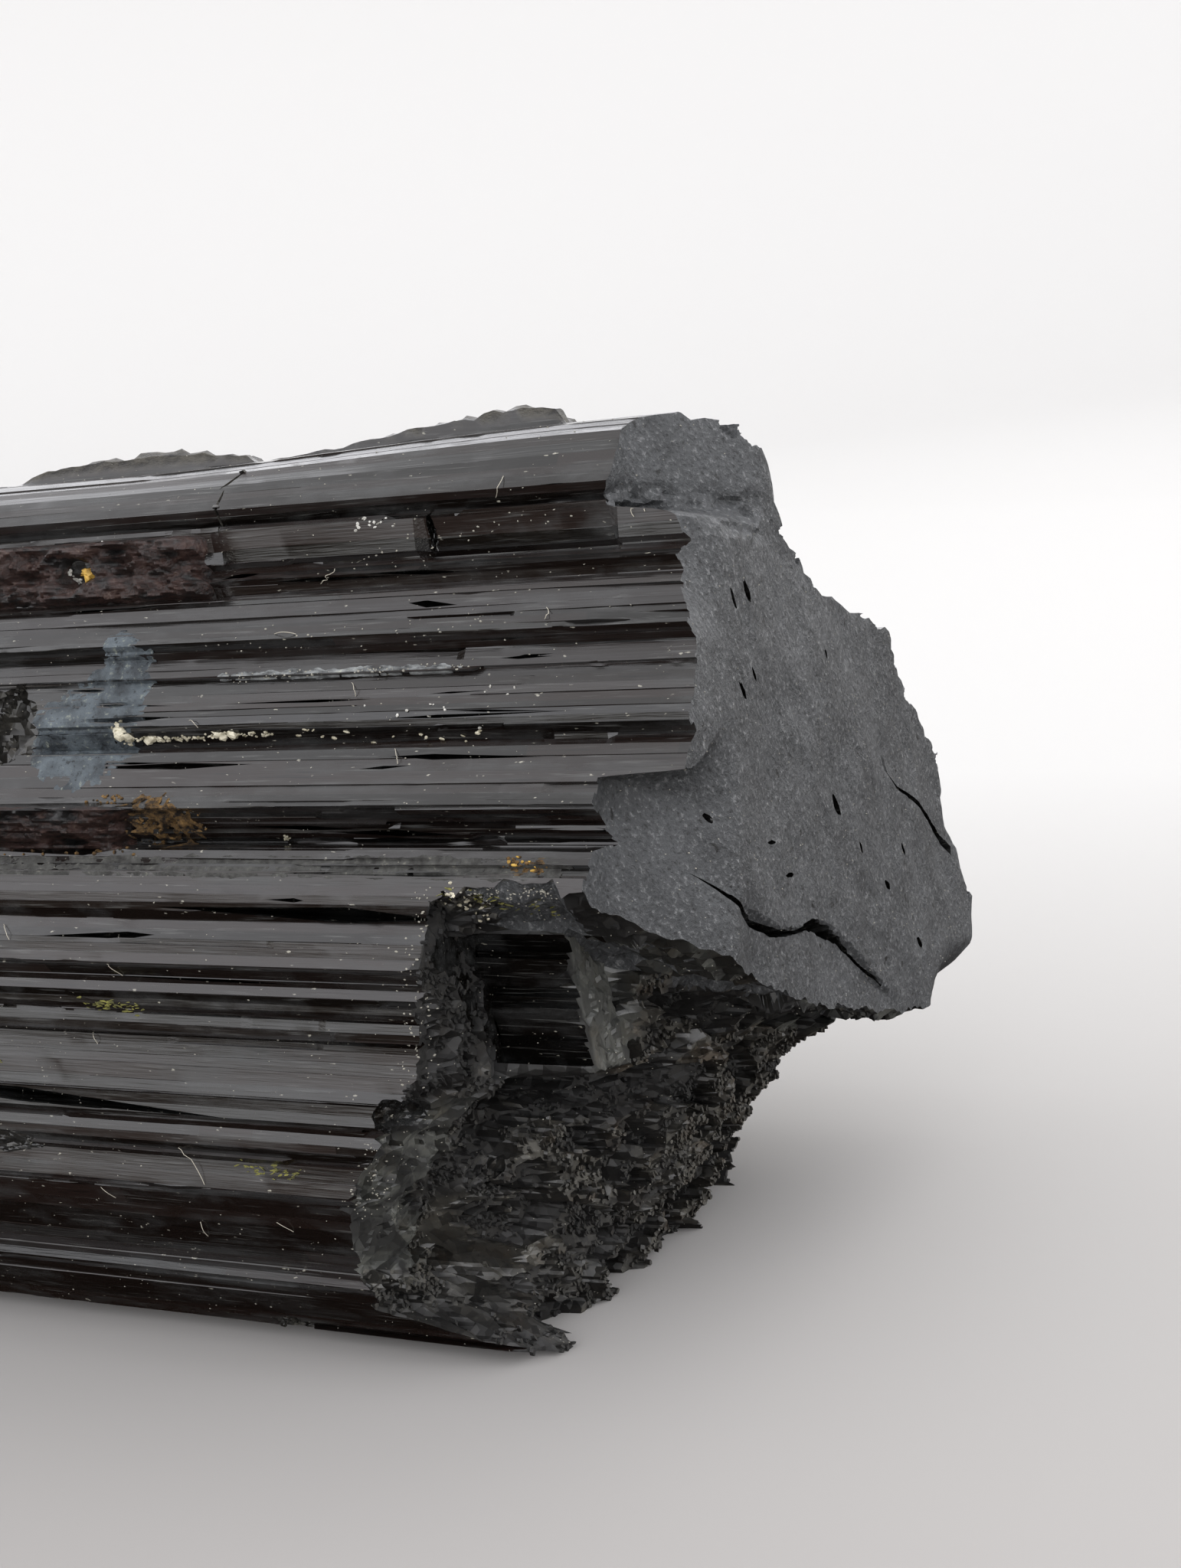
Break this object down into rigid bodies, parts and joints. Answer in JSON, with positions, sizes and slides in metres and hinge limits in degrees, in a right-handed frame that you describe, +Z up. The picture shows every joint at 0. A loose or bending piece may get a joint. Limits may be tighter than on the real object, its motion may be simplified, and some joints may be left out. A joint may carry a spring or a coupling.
{
  "type": "tourmaline crystal",
  "caption": "Black tourmaline prism with deep lengthwise striations, lying on a flat foot, broken across in two levels at one end.",
  "frame": {"origin": "middle of the bounding box, at the level of the flat foot", "axes": "+X along the prism towards the end broken in two levels, +Z up, front with the deep slot towards -Y"},
  "size_m": [0.0993, 0.054, 0.061],
  "materials": {
    "tourmaline": "glossy striated black tourmaline, dull grey where broken"
  },
  "bodies": {
    "root": {"tourmaline_crystal": "tourmaline"}
  },
  "joints": []
}
